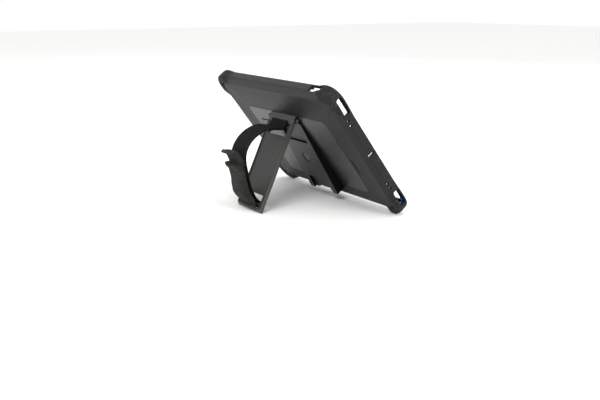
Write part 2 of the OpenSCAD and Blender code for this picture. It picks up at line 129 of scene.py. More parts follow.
def round_corner(before, corner, after, radius, steps):
    """Points of the arc that rounds a corner: a quadratic curve from one tangent point to the other."""
    before, corner, after = (np.array(p, float) for p in (before, corner, after))
    start = corner + radius * (before - corner) / np.linalg.norm(before - corner)
    end = corner + radius * (after - corner) / np.linalg.norm(after - corner)
    t = np.linspace(0, 1, steps + 1)[:, None]
    return (1 - t) ** 2 * start + 2 * t * (1 - t) * corner + t ** 2 * end


def rounded_line(points, radii, steps=4):
    """A line through the points with each inner corner rounded by its own radius."""
    line = [np.array([points[0]], float)]
    for i, radius in enumerate(radii, 1):
        line.append(round_corner(points[i - 1], points[i], points[i + 1], radius, steps))
    line.append(np.array([points[-1]], float))
    return np.concatenate(line)


def quads(rows, columns, close_rows, close_columns):
    """Faces of a grid of points, rows by columns, joined end to start where it closes."""
    i = np.arange(rows if close_rows else rows - 1)[:, None]
    j = np.arange(columns if close_columns else columns - 1)[None, :]
    nexti, nextj = (i + 1) % rows, (j + 1) % columns
    ring = [i * columns + j, nexti * columns + j, nexti * columns + nextj, i * columns + nextj]
    return np.stack(ring, -1).reshape(-1, 4)


def piece(name, points, faces, materials, smooth_angle=35, material_index=None, uv=None):
    """A mesh object from world points in metres and face lists, outward faces, smooth but for sharp edges.
    uv gives each point's place on the flat cloth, in metres."""
    mesh = bpy.data.meshes.new(name)
    mesh.from_pydata(np.asarray(points, float).reshape(-1, 3).tolist(), [],
                     [list(map(int, f)) for f in faces])
    for material in materials:
        mesh.materials.append(material)
    if material_index is not None:
        mesh.polygons.foreach_set("material_index", np.asarray(material_index, np.int32))
    if uv is not None:
        corner = np.empty(len(mesh.loops), np.int32)
        mesh.loops.foreach_get("vertex_index", corner)
        mesh.uv_layers.new(name="cloth").data.foreach_set("uv", np.asarray(uv, np.float32)[corner].ravel())
    made = bpy.data.objects.new(name, mesh)
    bpy.context.scene.collection.objects.link(made)
    tidy_normals(made)
    mesh.shade_smooth()
    mesh.set_sharp_from_angle(angle=math.radians(smooth_angle))
    return made


def tidy_normals(made):
    """Merges doubles and turns every face outwards."""
    loose = bmesh.new()
    loose.from_mesh(made.data)
    bmesh.ops.remove_doubles(loose, verts=loose.verts, dist=2e-7)
    bmesh.ops.recalc_face_normals(loose, faces=loose.faces)
    loose.to_mesh(made.data)
    loose.free()


def flatten(mesh, degrees):
    """Joins faces that lie in one plane to within the angle."""
    loose = bmesh.new()
    loose.from_mesh(mesh)
    bmesh.ops.remove_doubles(loose, verts=loose.verts, dist=2e-6)
    bmesh.ops.dissolve_limit(loose, angle_limit=math.radians(degrees), verts=loose.verts, edges=loose.edges)
    bmesh.ops.recalc_face_normals(loose, faces=loose.faces)
    loose.to_mesh(mesh)
    loose.free()


def apply_modifiers(made):
    """Replaces the mesh by what its modifiers give, and removes them."""
    graph = bpy.context.evaluated_depsgraph_get()
    final = bpy.data.meshes.new_from_object(made.evaluated_get(graph))
    old = made.data
    made.modifiers.clear()
    made.data = final
    final.name = old.name


def linear(code):
    """Linear colour from an sRGB hex value: a channel c up to 0.04045 gives c / 12.92, and a higher one
    ((c + 0.055) / 1.055) ^ 2.4."""
    c = np.array([int(code[i:i + 2], 16) for i in (1, 3, 5)]) / 255
    c = np.where(c <= 0.04045, c / 12.92, ((c + 0.055) / 1.055) ** 2.4)
    return (*c.tolist(), 1.0)


def add(tree, kind, inputs=(), **settings):
    """Adds a node with its settings; each input is a value or the socket that feeds it."""
    made = tree.nodes.new(kind)
    for name, value in settings.items():
        setattr(made, name, value)
    for name, value in dict(inputs).items():
        if isinstance(value, bpy.types.NodeSocket):
            tree.links.new(value, made.inputs[name])
        else:
            made.inputs[name].default_value = value
    return made


def new_material(name, **shader_values):
    """A material, its node tree and its shader, with the shader's constants set."""
    material = bpy.data.materials.new(name)
    material.use_nodes = True
    tree = material.node_tree
    shader = tree.nodes["Principled BSDF"]
    for key, value in shader_values.items():
        shader.inputs[key.replace("_", " ")].default_value = value
    return material, tree, shader


# Moulded TPU: a dull, slightly mottled skin. Its pebbled grain of about 0.8 mm is drawn as 2.2 mm, so that
# it shows.
shell_rubber, tree, shader = new_material("moulded_tpu_black", IOR=1.5, Specular_IOR_Level=0.2)
where = add(tree, "ShaderNodeTexCoord").outputs["Object"]
mottle = add(tree, "ShaderNodeTexNoise", {"Vector": where, "Scale": 45, "Detail": 4, "Roughness": 0.6})
smooth_tone = add(tree, "ShaderNodeMix",
                  {"Factor": mottle.outputs[0], 6: linear("#1c1d1c"), 7: linear("#252624")},
                  data_type="RGBA")
grain_amount = add(tree, "ShaderNodeAttribute", attribute_name="grain").outputs["Fac"]
pebble = add(tree, "ShaderNodeTexVoronoi", {"Vector": where, "Scale": 450}, feature="SMOOTH_F1")
fine = add(tree, "ShaderNodeTexNoise", {"Vector": where, "Scale": 2600, "Detail": 2})
grain_height = add(tree, "ShaderNodeMath", {0: pebble.outputs["Distance"], 1: grain_amount},
                   operation="MULTIPLY")
height = add(tree, "ShaderNodeMath", {0: fine.outputs[0], 1: 0.25, 2: grain_height.outputs[0]},
             operation="MULTIPLY_ADD")
bump = add(tree, "ShaderNodeBump", {"Strength": 0.55, "Distance": 0.0003, "Height": height.outputs[0]})
speck = add(tree, "ShaderNodeMapRange",
            {"Value": grain_height.outputs[0], "From Min": 0.25, "From Max": 0.75, "To Max": 0.55})
base = add(tree, "ShaderNodeMix", {"Factor": grain_amount, 6: smooth_tone.outputs[2], 7: linear("#0e0f0e")},
           data_type="RGBA")
tone = add(tree, "ShaderNodeMix", {"Factor": speck.outputs[0], 6: base.outputs[2], 7: linear("#3a3b38")},
           data_type="RGBA")
dullness = add(tree, "ShaderNodeMapRange", {"Value": mottle.outputs[0], "To Min": 0.42, "To Max": 0.52})
rough = add(tree, "ShaderNodeMath", {0: grain_amount, 1: 0.24, 2: dullness.outputs[0]},
            operation="MULTIPLY_ADD")
tree.links.new(tone.outputs[2], shader.inputs["Base Color"])
tree.links.new(rough.outputs[0], shader.inputs["Roughness"])
tree.links.new(bump.outputs[0], shader.inputs["Normal"])

centres, normals, reach = along_rim(12, 56, 44)
stations = len(centres)
fade = np.where(np.abs(normals[:, 0]) > 0.99, BUMPER_FADE_SHORT_SIDE, BUMPER_FADE)
bulge = np.clip((reach - BUMPER_LEG) / fade, 0, 1)
bulge = 1 - bulge * bulge * (3 - 2 * bulge)
# Section of the wall as (distance out, height), from the back over the side and the lip to the inside:
# bevelled along the sides, and swollen with large rounds at the bumpers. Both have the same point count.
back = [(3, 0), (4, 0), (5, 0), (6, 0)]
inside = [(7.2, FRONT), (7, LIP), (WALL_IN, LIP), (WALL_IN, FLOOR), (3, FLOOR)]
plain = rounded_line(back + [(7, 0), (15.2, -4.2), (WALL_OUT, -5.6), (WALL_OUT, FRONT)] + inside,
                     [0.4, 0.4, 0.4, 0.5, 0.7, 0.6, 3.4, 0.8, 0.5, 0.4, 0.8])
swollen = rounded_line(back + [(7.2, 0), (9.4, BUMPER_RISE), (BUMPER_OUT, BUMPER_RISE),
                               (BUMPER_OUT, FRONT + 0.4)] + inside,
                       [0.4, 0.4, 0.4, 0.6, 1.0, 4.2, 4.4, 0.8, 0.5, 0.4, 0.8])
section = plain[None] + bulge[:, None, None] * (swollen - plain)[None]
rim = np.concatenate([centres[:, None, :] + section[..., :1] * normals[:, None, :], section[..., 1:]], -1)
# A moulded dimple sinks the back where each bumper's two arms meet.
from_dimple = np.linalg.norm(np.abs(rim[..., :2]) - [CORE_X + DIMPLE_OUT, CORE_Y + DIMPLE_OUT], axis=-1)
rim[..., 2] -= np.where(rim[..., 2] > -2, DIMPLE_DEPTH * np.exp(-(from_dimple / DIMPLE_SPREAD) ** 2), 0)


def box_ring(half_x, half_y, cut, middle_y, height):
    """A ring of one point a station on a rectangle whose corners are cut: straight stations keep their
    share of the side, arc stations run along the cut."""
    edge = np.clip(centres / [CORE_X, CORE_Y], -1, 1) * [half_x - cut, half_y - cut]
    turn = np.arctan2(np.abs(normals[:, 1]), np.abs(normals[:, 0])) / (np.pi / 2)
    side = np.sign(np.where(np.abs(normals) < 1e-9, 0, normals))
    ring = edge + np.stack([cut * (1 - turn), cut * turn], 1) * side
    return np.concatenate([ring + [0, middle_y], np.full((stations, 1), height)], 1)


# The window in the shell's floor, and the shallow recess round it that seats the back plate.
rings = [box_ring(68, 44, 6, 0, FLOOR), box_ring(68, 44, 6, 0, REBATE),
         box_ring(89.2, 58.2, 5, -9, REBATE), box_ring(89.2, 58.2, 5, -9, 0)]
shell_grid = np.concatenate([np.stack(rings), rim.transpose(1, 0, 2)])
rows = len(shell_grid)
shell = piece("shell", in_case(shell_grid), quads(rows, stations, True, True), [shell_rubber])


def extruded(outline, start, stop, frame_of):
    """A closed prism: the outline's (u, v) points carried from start to stop along w, and then placed by
    frame_of(u, v, w)."""
    outline = np.asarray(outline, float)
    n = len(outline)
    walls = [np.concatenate([outline, np.full((n, 1), w)], 1) for w in (start, stop)]
    points = np.concatenate(walls)
    faces = [list(f) for f in quads(2, n, False, True)] + [list(range(n)), list(range(n, 2 * n))]
    return frame_of(points), faces


def slot_outline(length, height, radius=None):
    """A rectangle with rounded corners: four arcs joined by straights. With no radius its ends are round."""
    radius = radius or min(length, height) / 2 - 0.3
    angle = np.radians(np.linspace(0, 90, 7))
    middle = [length / 2 - radius, height / 2 - radius]
    arc = radius * np.stack([np.cos(angle), np.sin(angle)], 1) + middle
    return np.concatenate([arc, arc[::-1] * [-1, 1], -arc, arc[::-1] * [1, -1]])


def joined(parts):
    """One list of points and one of faces from several."""
    points, faces, base = [], [], 0
    for p, f in parts:
        points.append(p)
        faces += [[base + i for i in face] for face in f]
        base += len(p)
    return np.concatenate(points), faces


def on_side(sign, y, z):
    """Places (along y, along z, out of the short side) points at a height y, z of the side wall."""
    return lambda p: np.stack([sign * p[:, 2], y + p[:, 0], z + p[:, 1]], 1)


def on_top(x, z):
    """The same on the long side at the top."""
    return lambda p: np.stack([x + p[:, 0], p[:, 2], z + p[:, 1]], 1)


def on_back(x, y):
    """Points as (x, y, height) about a place on the back."""
    return lambda p: p + [x, y, 0]


side_x, side_y = CORE_X + WALL_OUT, CORE_Y + WALL_OUT
# Openings in the short sides as (side, place along y, height z, outline). The first row goes right
# through the wall, the second only sinks its outer face.
through = [(1, 0, SLOT_Z, slot_outline(3, 8.5)), (-1, 0, SLOT_Z, slot_outline(15, 6.5))]
sunk = [(1, 0, SLOT_Z + 3.4, slot_outline(3, 13), 1.1), (-1, 0, SLOT_Z + 0.8, slot_outline(21, 10.4), 1.2)]
for s in (-1, 1):
    through.append((1, s * 71, SLOT_Z - 0.3, slot_outline(23, 8.4, 2.6)))
    through.append((1, s * 49 - 3.5, SLOT_Z + 2.6, slot_outline(3.2, 3.2)))
    through.append((1, s * 49 + 3.5, SLOT_Z + 2.6, slot_outline(3.2, 3.2)))
    through.append((-1, s * 44, SLOT_Z, slot_outline(23, 4.5)))
    sunk.append((-1, s * 44, SLOT_Z + 0.6, slot_outline(27, 9.6), 1.2))
cuts = [extruded(outline, CORE_X + 5, side_x + 9, on_side(side, y, z)) for side, y, z, outline in through]
cuts += [extruded(outline, side_x - depth, side_x + 9, on_side(side, y, z))
         for side, y, z, outline, depth in sunk]
# The volume keys' slot in the long side, with the lip relieved in front of it so that a finger gets in,
# and a narrow groove in the back.
VOLUME_X = 99
cuts.append(extruded(slot_outline(26, 8.4, 1.6), CORE_Y + 5, side_y + 9, on_top(VOLUME_X, SLOT_Z - 0.3)))
cuts.append(extruded(slot_outline(38, 7, 2.2), CORE_Y + 4, CORE_Y + 12.4, on_top(VOLUME_X, -15.6)))
cuts.append(extruded(slot_outline(2.4, 21), -1.1, 3, on_back(94, -22)))
points, faces = joined(cuts)
cutter = piece("cutter", in_case(points), faces, [shell_rubber])
cutting = shell.modifiers.new("openings", "BOOLEAN")
cutting.object, cutting.operation, cutting.solver, cutting.use_self = cutter, "DIFFERENCE", "EXACT", True
apply_modifiers(shell)
bpy.data.objects.remove(cutter)
flatten(shell.data, 0.3)
shell.data.shade_smooth()
shell.data.set_sharp_from_angle(angle=math.radians(35))


def local_points(made, origin, axes):
    """The mesh's points in a frame given by its origin and axes, in millimetres."""
    flat = np.empty(len(made.data.vertices) * 3, np.float32)
    made.data.vertices.foreach_get("co", flat)
    return (flat.reshape(-1, 3) - origin) @ axes.T * 1000


# The grain covers the bumpers and, more weakly, the upright part of the short sides.
past = np.abs(local_points(shell, case_origin, case_axes)[:, :2]) - [CORE_X, CORE_Y]
distance = np.where((past > 0).all(1), np.linalg.norm(np.maximum(past, 0), axis=1), past.max(1))
corner = np.clip(1 + past.min(1) / 14, 0, 1)
on_short_side = past[:, 0] > past[:, 1]
grain = 0.6 * on_short_side * np.clip((distance - 14.2) / 1.2, 0, 1)
grain += corner * np.clip((distance - 6) / 2, 0, 1)
attribute = shell.data.attributes.new("grain", "FLOAT", "POINT")
attribute.data.foreach_set("value", np.clip(grain, 0, 1).astype(np.float32))
weighted = shell.modifiers.new("normals", "WEIGHTED_NORMAL")
weighted.keep_sharp = True
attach(shell, "case")
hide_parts("outer_shell")

# ---------------------------------------------------------------- back plate
# The hard plate in the shell's back, injection moulded in black polycarbonate. It lies in the recess
# round the shell's window and carries the stand dock. Its shape is the frame's, with softened edges.
# Polycarbonate from a satin tool: a long soft highlight, cloudy at about 30 mm.
plate_plastic, tree, shader = new_material("satin_polycarbonate_black", IOR=1.58, Specular_IOR_Level=0.55)
where = add(tree, "ShaderNodeTexCoord").outputs["Object"]
cloud = add(tree, "ShaderNodeTexNoise", {"Vector": where, "Scale": 30, "Detail": 5, "Roughness": 0.65})
spark = add(tree, "ShaderNodeTexNoise", {"Vector": where, "Scale": 3800, "Detail": 2})
base = add(tree, "ShaderNodeMix", {"Factor": cloud.outputs[0], 6: linear("#0a0b0a"), 7: linear("#131413")},
           data_type="RGBA")
rough = add(tree, "ShaderNodeMapRange", {"Value": cloud.outputs[0], "To Min": 0.3, "To Max": 0.46})
bump = add(tree, "ShaderNodeBump", {"Strength": 0.25, "Distance": 0.0001, "Height": spark.outputs[0]})
tree.links.new(base.outputs[2], shader.inputs["Base Color"])
tree.links.new(rough.outputs[0], shader.inputs["Roughness"])
tree.links.new(bump.outputs[0], shader.inputs["Normal"])


def softened(node, name, material, body, width):
    """A copy of a frame node, joined into flat faces, with sharp edges rounded by width in millimetres."""
    mesh = frame["nodes"][node].data.copy()
    mesh.name = name
    mesh.materials.clear()
    mesh.materials.append(material)
    flatten(mesh, 0.5)
    if "custom_normal" in mesh.attributes:
        mesh.attributes.remove(mesh.attributes["custom_normal"])
    made = bpy.data.objects.new(name, mesh)
    bpy.context.scene.collection.objects.link(made)
    rounding = made.modifiers.new("edges", "BEVEL")
    rounding.width, rounding.segments = width / 1000, 2
    rounding.limit_method, rounding.angle_limit = "ANGLE", math.radians(40)
    rounding.use_clamp_overlap = True
    mesh.shade_smooth()
    apply_modifiers(made)
    made.data.shade_smooth()
    made.data.set_sharp_from_angle(angle=math.radians(35))
    weighted = made.modifiers.new("normals", "WEIGHTED_NORMAL")
    weighted.keep_sharp = True
    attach(made, body)
    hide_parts(node)
    return made


softened("back_plate", "back_cover", plate_plastic, "case", 0.25)

# ---------------------------------------------------------------- stand dock
# The wedge that the stand folds onto, moulded in black polycarbonate and held to the back plate by four
# screws. Its drafted side walls are textured and matt; its face is satin.
# Spark-eroded grain of about 0.4 mm on the sides leaves them matt; their near black colour is painted shade.
dock_plastic, tree, shader = new_material("textured_polycarbonate_black_painted_side_shade", IOR=1.58, Specular_IOR_Level=0.3)
where = add(tree, "ShaderNodeTexCoord").outputs["Object"]
cloud = add(tree, "ShaderNodeTexNoise", {"Vector": where, "Scale": 35, "Detail": 5, "Roughness": 0.6})
spark = add(tree, "ShaderNodeTexNoise", {"Vector": where, "Scale": 2400, "Detail": 3})
top_face = add(tree, "ShaderNodeAttribute", attribute_name="face").outputs["Fac"]
# The side walls' tone is painted shade, darker than the face's own tone.
side_painted_shade_tone = add(tree, "ShaderNodeMix",
                {"Factor": cloud.outputs[0], 6: linear("#050505"), 7: linear("#0b0b0b")}, data_type="RGBA")
face_tone = add(tree, "ShaderNodeMix",
                {"Factor": cloud.outputs[0], 6: linear("#131413"), 7: linear("#1d1e1d")}, data_type="RGBA")
base = add(tree, "ShaderNodeMix", {"Factor": top_face, 6: side_painted_shade_tone.outputs[2], 7: face_tone.outputs[2]},
           data_type="RGBA")
dull = add(tree, "ShaderNodeMapRange", {"Value": top_face, "To Min": 0.62, "To Max": 0.36})
sheen_part = add(tree, "ShaderNodeMapRange", {"Value": top_face, "To Min": 0.06, "To Max": 0.3})
tree.links.new(sheen_part.outputs[0], shader.inputs["Specular IOR Level"])
rough = add(tree, "ShaderNodeMath", {0: spark.outputs[0], 1: 0.12, 2: dull.outputs[0]},
            operation="MULTIPLY_ADD")
bump = add(tree, "ShaderNodeBump", {"Strength": 0.3, "Distance": 0.0001, "Height": spark.outputs[0]})
tree.links.new(base.outputs[2], shader.inputs["Base Color"])
tree.links.new(rough.outputs[0], shader.inputs["Roughness"])
tree.links.new(bump.outputs[0], shader.inputs["Normal"])
dock = softened("stand_dock", "dock", dock_plastic, "case", 0.45)
# Faces that look out of the back are marked: they get the plastic's own tone and the satin finish, the other faces
# the painted shade.
dock_face = np.zeros(len(dock.data.polygons), np.float32)
dock_normals = np.empty(len(dock.data.polygons) * 3, np.float32)
dock.data.polygons.foreach_get("normal", dock_normals)
dock_face[(dock_normals.reshape(-1, 3) @ out_of_back) > 0.8] = 1.0
face_mark = dock.data.attributes.new("face", "FLOAT", "FACE")
face_mark.data.foreach_set("value", dock_face)

# ---------------------------------------------------------------- stand leaf
# The fold-out leg: a flat panel inside a raised rim, moulded in dark grey polycarbonate, with two pairs
# of slits for the strap. Its face has a fine texture, and the top of the raised rim is painted paler as a
# highlight.
# Spark-eroded grain of about 0.33 mm: an even, low sheen.
leaf_plastic, tree, shader = new_material("fine_textured_polycarbonate", IOR=1.58, Specular_IOR_Level=0.35)
where = add(tree, "ShaderNodeTexCoord").outputs["Object"]
cloud = add(tree, "ShaderNodeTexNoise", {"Vector": where, "Scale": 22, "Detail": 5, "Roughness": 0.6})
spark = add(tree, "ShaderNodeTexNoise", {"Vector": where, "Scale": 3000, "Detail": 3})
panel = add(tree, "ShaderNodeMix",
            {"Factor": cloud.outputs[0], 6: linear("#2a2b29"), 7: linear("#363734")}, data_type="RGBA")
# The raised rim's top gets a paler colour: a painted highlight.
rim_painted_highlight = add(tree, "ShaderNodeAttribute", attribute_name="rim").outputs["Fac"]
base = add(tree, "ShaderNodeMix", {"Factor": rim_painted_highlight, 6: panel.outputs[2], 7: linear("#494a46")},
           data_type="RGBA")
rough = add(tree, "ShaderNodeMapRange", {"Value": spark.outputs[0], "To Min": 0.4, "To Max": 0.56})
bump = add(tree, "ShaderNodeBump", {"Strength": 0.35, "Distance": 0.0001, "Height": spark.outputs[0]})
tree.links.new(base.outputs[2], shader.inputs["Base Color"])
tree.links.new(rough.outputs[0], shader.inputs["Roughness"])
tree.links.new(bump.outputs[0], shader.inputs["Normal"])
leaf = softened("stand_leaf", "leaf", leaf_plastic, "stand", 0.35)
RIM_HEIGHT, RIM_START = 2.2, 6.5
leaf_points = local_points(leaf, hinge, leaf_axes)
# Marks the top of the raised rim for the painted highlight.
rim_top_painted_highlight = (leaf_points[:, 2] > RIM_HEIGHT) & (leaf_points[:, 0] > RIM_START)
rim = leaf.data.attributes.new("rim", "FLOAT", "POINT")
rim.data.foreach_set("value", rim_top_painted_highlight.astype(np.float32))

# ---------------------------------------------------------------- inner side of the tray
# A black rubber liner fills the floor between the inner plate and the walls. Low ramps with a sharp
# drop on one side fan out across it, so that a knock at the edge is spread along the tablet.
SEAT, BED = -4.0, -7.0
RAMP_HEIGHT = 2.7
# Moulded rubber, bloomed a little: dull, with patches of about 15 mm and a skin of 0.5 mm pores.
liner_rubber, tree, shader = new_material("moulded_rubber_liner", IOR=1.52, Specular_IOR_Level=0.25)
where = add(tree, "ShaderNodeTexCoord").outputs["Object"]
dust = add(tree, "ShaderNodeTexNoise", {"Vector": where, "Scale": 60, "Detail": 6, "Roughness": 0.7})
skin = add(tree, "ShaderNodeTexNoise", {"Vector": where, "Scale": 1800, "Detail": 2})
base = add(tree, "ShaderNodeMix", {"Factor": dust.outputs[0], 6: linear("#121312"), 7: linear("#1d1e1c")},
           data_type="RGBA")
rough = add(tree, "ShaderNodeMapRange", {"Value": dust.outputs[0], "To Min": 0.48, "To Max": 0.66})
bump = add(tree, "ShaderNodeBump", {"Strength": 0.3, "Distance": 0.0002, "Height": skin.outputs[0]})
tree.links.new(base.outputs[2], shader.inputs["Base Color"])
tree.links.new(rough.outputs[0], shader.inputs["Roughness"])
tree.links.new(bump.outputs[0], shader.inputs["Normal"])

LINER_IN = np.array([74.2, 50.2])
LINER_IN_R, LINER_OUT_R = 18.0, 12.3


def ramp_stations(ribs, direction):
    """Stations along one side from -1 to 1 and the rib height at each, 0 to 1: each pitch climbs in a
    straight ramp over nine tenths of its length and drops over the rest."""
    pitch = np.array([0.02, 0.9, 0.93, 0.995])
    rise = np.array([0.0, 1.0, 1.0, 0.0])
    along = (np.arange(ribs)[:, None] + pitch) / ribs * 2 - 1
    along, rise = along.ravel(), np.tile(rise, ribs)
    if direction < 0:
        along, rise = -along[::-1], rise[::-1]
    return 0.94 * along, rise


def liner_loop():
    """The inner and the outer line of the liner's floor, station for station, and the rib height there.
    Straight sides carry the ramps, corner arcs are plain."""
    inner, outer, rise = [], [], []
    signs = np.array([[1, 1], [-1, 1], [-1, -1], [1, -1]])
    for k in range(4):
        angle = np.radians(90 * k + np.linspace(0, 90, 9))
        turn = np.stack([np.cos(angle), np.sin(angle)], 1)
        inner.append(signs[k] * (LINER_IN - LINER_IN_R) + LINER_IN_R * turn)
        outer.append(signs[k] * [CORE_X, CORE_Y] + LINER_OUT_R * turn)
        rise.append(np.zeros(9))
        along, height = ramp_stations(14 if k % 2 == 0 else 8, 1 if k in (0, 1) else -1)
        if k == 3:
            height = 0.45 * height
        share = (along[:, None] + 1) / 2
        ahead = signs[(k + 1) % 4]
        inner.append(inner[-1][-1] + share * (ahead - signs[k]) * (LINER_IN - LINER_IN_R))
        outer.append(outer[-1][-1] + share * (ahead - signs[k]) * [CORE_X, CORE_Y])
        rise.append(height)
    return np.concatenate(inner), np.concatenate(outer), np.concatenate(rise)


inner_line, outer_line, rise = liner_loop()
across = np.array([0.0, 0.0, 0.05, 0.12, 0.3, 0.5, 0.7, 0.88, 0.97, 1.0, 1.0])
lift = np.array([0.0, 0.0, 0.0, 0.22, 0.45, 0.65, 0.85, 1.0, 1.0, 0.9, 0.0])
base_line = np.full(len(across), SEAT)
base_line[[0, -1]] = FLOOR - 0.02
flat = inner_line + across[:, None, None] * (outer_line - inner_line)
height = base_line[:, None] - RAMP_HEIGHT * lift[:, None] * rise
height[-2:-1] -= 0.5
liner_grid = np.concatenate([flat, np.broadcast_to(height[..., None], flat.shape[:2] + (1,))], -1)
liner = piece("liner", in_case(liner_grid), quads(len(across), len(inner_line), True, True),
              [liner_rubber], 24)
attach(liner, "case")
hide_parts("shock_liner")

# ---------------------------------------------------------------- inner plate
# The hard plate under the tablet, moulded in black ABS with a fine spark-eroded texture.
# Four screws hold it through the shell to the plate on the back.
# ABS from an eroded tool: matt, with a grain of about 0.4 mm.
inner_plastic, tree, shader = new_material("matt_moulded_abs", IOR=1.54, Specular_IOR_Level=0.3)
where = add(tree, "ShaderNodeTexCoord").outputs["Object"]
cloud = add(tree, "ShaderNodeTexNoise", {"Vector": where, "Scale": 26, "Detail": 5, "Roughness": 0.6})
spark = add(tree, "ShaderNodeTexNoise", {"Vector": where, "Scale": 2600, "Detail": 3})
base = add(tree, "ShaderNodeMix", {"Factor": cloud.outputs[0], 6: linear("#191b1a"), 7: linear("#242625")},
           data_type="RGBA")
rough = add(tree, "ShaderNodeMapRange", {"Value": spark.outputs[0], "To Min": 0.42, "To Max": 0.6})
bump = add(tree, "ShaderNodeBump", {"Strength": 0.3, "Distance": 0.0001, "Height": spark.outputs[0]})
tree.links.new(base.outputs[2], shader.inputs["Base Color"])
tree.links.new(rough.outputs[0], shader.inputs["Roughness"])
tree.links.new(bump.outputs[0], shader.inputs["Normal"])
softened("inner_plate", "inner_cover", inner_plastic, "case", 0.3)

# ---------------------------------------------------------------- blue pads
# Soft silicone pads, moulded in bright blue: four clipped wedges on the floor, each with a V pressed
# into its face and a stem to its corner, and four that line the corners' walls.
# Liquid silicone: a soft, slightly translucent skin with a low gloss; the stems, which lie under the pads, are
# painted dark as shade.
blue_silicone, tree, shader = new_material("blue_silicone", IOR=1.43, Specular_IOR_Level=0.5)
shader.inputs["Subsurface Weight"].default_value = 0.15
shader.inputs["Subsurface Scale"].default_value = 0.002
where = add(tree, "ShaderNodeTexCoord").outputs["Object"]
cloud = add(tree, "ShaderNodeTexNoise", {"Vector": where, "Scale": 70, "Detail": 4})
matt = add(tree, "ShaderNodeTexNoise", {"Vector": where, "Scale": 2200, "Detail": 2})
base = add(tree, "ShaderNodeMix", {"Factor": cloud.outputs[0], 6: linear("#2f83d8"), 7: linear("#4b9deb")},
           data_type="RGBA")
# The stems get a dark blue: painted shade.
stem_painted_shade = add(tree, "ShaderNodeAttribute", attribute_name="stem").outputs["Fac"]
tone = add(tree, "ShaderNodeMix", {"Factor": stem_painted_shade, 6: base.outputs[2], 7: linear("#123a6e")},
           data_type="RGBA")
rough = add(tree, "ShaderNodeMapRange", {"Value": matt.outputs[0], "To Min": 0.38, "To Max": 0.55})
bump = add(tree, "ShaderNodeBump", {"Strength": 0.25, "Distance": 0.0001, "Height": matt.outputs[0]})
tree.links.new(tone.outputs[2], shader.inputs["Base Color"])
tree.links.new(rough.outputs[0], shader.inputs["Roughness"])
tree.links.new(bump.outputs[0], shader.inputs["Normal"])

PAD_X, PAD_Y, PAD_W, PAD_D = 67.0, 43.0, 16.5, 14.0
outline = np.array([[-1, -0.5], [-0.45, -1], [-0.05, -1], [1, -0.36], [1, 0.36], [-0.05, 1], [-0.45, 1],
                    [-1, 0.5]])
outline = outline * [PAD_D, PAD_W]
reach_to_corner = np.array([CORE_X - PAD_X, CORE_Y - PAD_Y])
stem_end = np.linalg.norm(reach_to_corner) + LINER_OUT_R - 2.8


def fine_outline(corners, per_side):
    """A closed outline with per_side points on each straight side."""
    share = np.arange(per_side)[:, None] / per_side
    ahead = np.roll(corners, -1, axis=0)
    return (corners[:, None] + share * (ahead - corners)[:, None]).reshape(-1, 2)


def from_segment(points, start, end):
    """Distance of each point from a line segment."""
    start, end = np.array(start, float), np.array(end, float)
    share = np.clip(((points - start) @ (end - start)) / np.sum((end - start) ** 2), 0, 1)
    return np.linalg.norm(points - start - share[..., None] * (end - start), axis=-1)


edge_line = fine_outline(outline, 14)
scale = np.concatenate([[1.0, 1.0, 0.985, 0.95], np.linspace(0.9, 0.02, 30)])
drop = np.concatenate([[SEAT + 0.02, BED + 0.9, BED + 0.35, BED + 0.06], np.full(30, BED)])
pad_flat = scale[:, None, None] * edge_line
arms = np.minimum(from_segment(pad_flat, (6.6, 0), (-4.4, 8.6)),
                  from_segment(pad_flat, (6.6, 0), (-4.4, -8.6)))
pressed = 0.9 * np.clip((1.9 - arms) / 1.0, 0, 1)
pad_height = np.broadcast_to(drop[:, None], arms.shape) + np.where(scale[:, None] < 0.93, pressed, 0)
pad_grid = np.concatenate([pad_flat, pad_height[..., None]], -1)
ring_count, ring_points = pad_grid.shape[:2]
pad_points = np.concatenate([pad_grid.reshape(-1, 3), [[0, 0, BED], [0, 0, SEAT + 0.02]]])
fan = np.arange(ring_points)
last = (ring_count - 1) * ring_points
face_middle = np.full(ring_points, len(pad_points) - 2)
back_middle = np.full(ring_points, len(pad_points) - 1)
pad_faces = quads(ring_count, ring_points, False, True).tolist()
pad_faces += np.stack([last + fan, last + np.roll(fan, -1), face_middle], 1).tolist()
pad_faces += np.stack([np.roll(fan, -1), fan, back_middle], 1).tolist()
STEM_START = 11.0
stem_section = np.array([[-3, SEAT + 0.02], [-3, SEAT - 1.3], [-2.4, SEAT - 1.8],
                         [2.4, SEAT - 1.8], [3, SEAT - 1.3], [3, SEAT + 0.02]])
stem_points = np.concatenate([np.concatenate([np.full((6, 1), x), stem_section], 1)
                              for x in (STEM_START, stem_end)])
stem_faces = [list(f) for f in quads(2, 6, False, True)] + [list(range(6)), list(range(6, 12))]
for number, (sign_x, sign_y) in enumerate([(1, 1), (-1, 1), (-1, -1), (1, -1)], 1):
    heading = math.atan2(sign_y * reach_to_corner[1], sign_x * reach_to_corner[0])
    spin = np.array([[math.cos(heading), math.sin(heading), 0],
                     [-math.sin(heading), math.cos(heading), 0],
                     [0, 0, 1]])
    points, faces = joined([(pad_points @ spin, pad_faces), (stem_points @ spin, stem_faces)])
    middle = np.array([sign_x * PAD_X, sign_y * PAD_Y, 0])
    pad = piece(f"floor_pad_{number}_face", in_case(points + middle), faces, [blue_silicone], 30)
    from_middle = local_points(pad, case_origin, case_axes) - middle
    out = np.linalg.norm(from_middle[:, :2], axis=1)
    # Marks the stems' points for the painted shade.
    stem_shade_mask = (from_middle[:, 2] > SEAT - 1.9) & (out > STEM_START - 0.1)
    stem = pad.data.attributes.new("stem", "FLOAT", "POINT")
    stem.data.foreach_set("value", stem_shade_mask.astype(np.float32))
    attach(pad, "case")
    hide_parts(f"floor_pad_{number}")
    softened(f"corner_pad_{number}", f"corner_pad_{number}_face", blue_silicone, "case", 0.4)

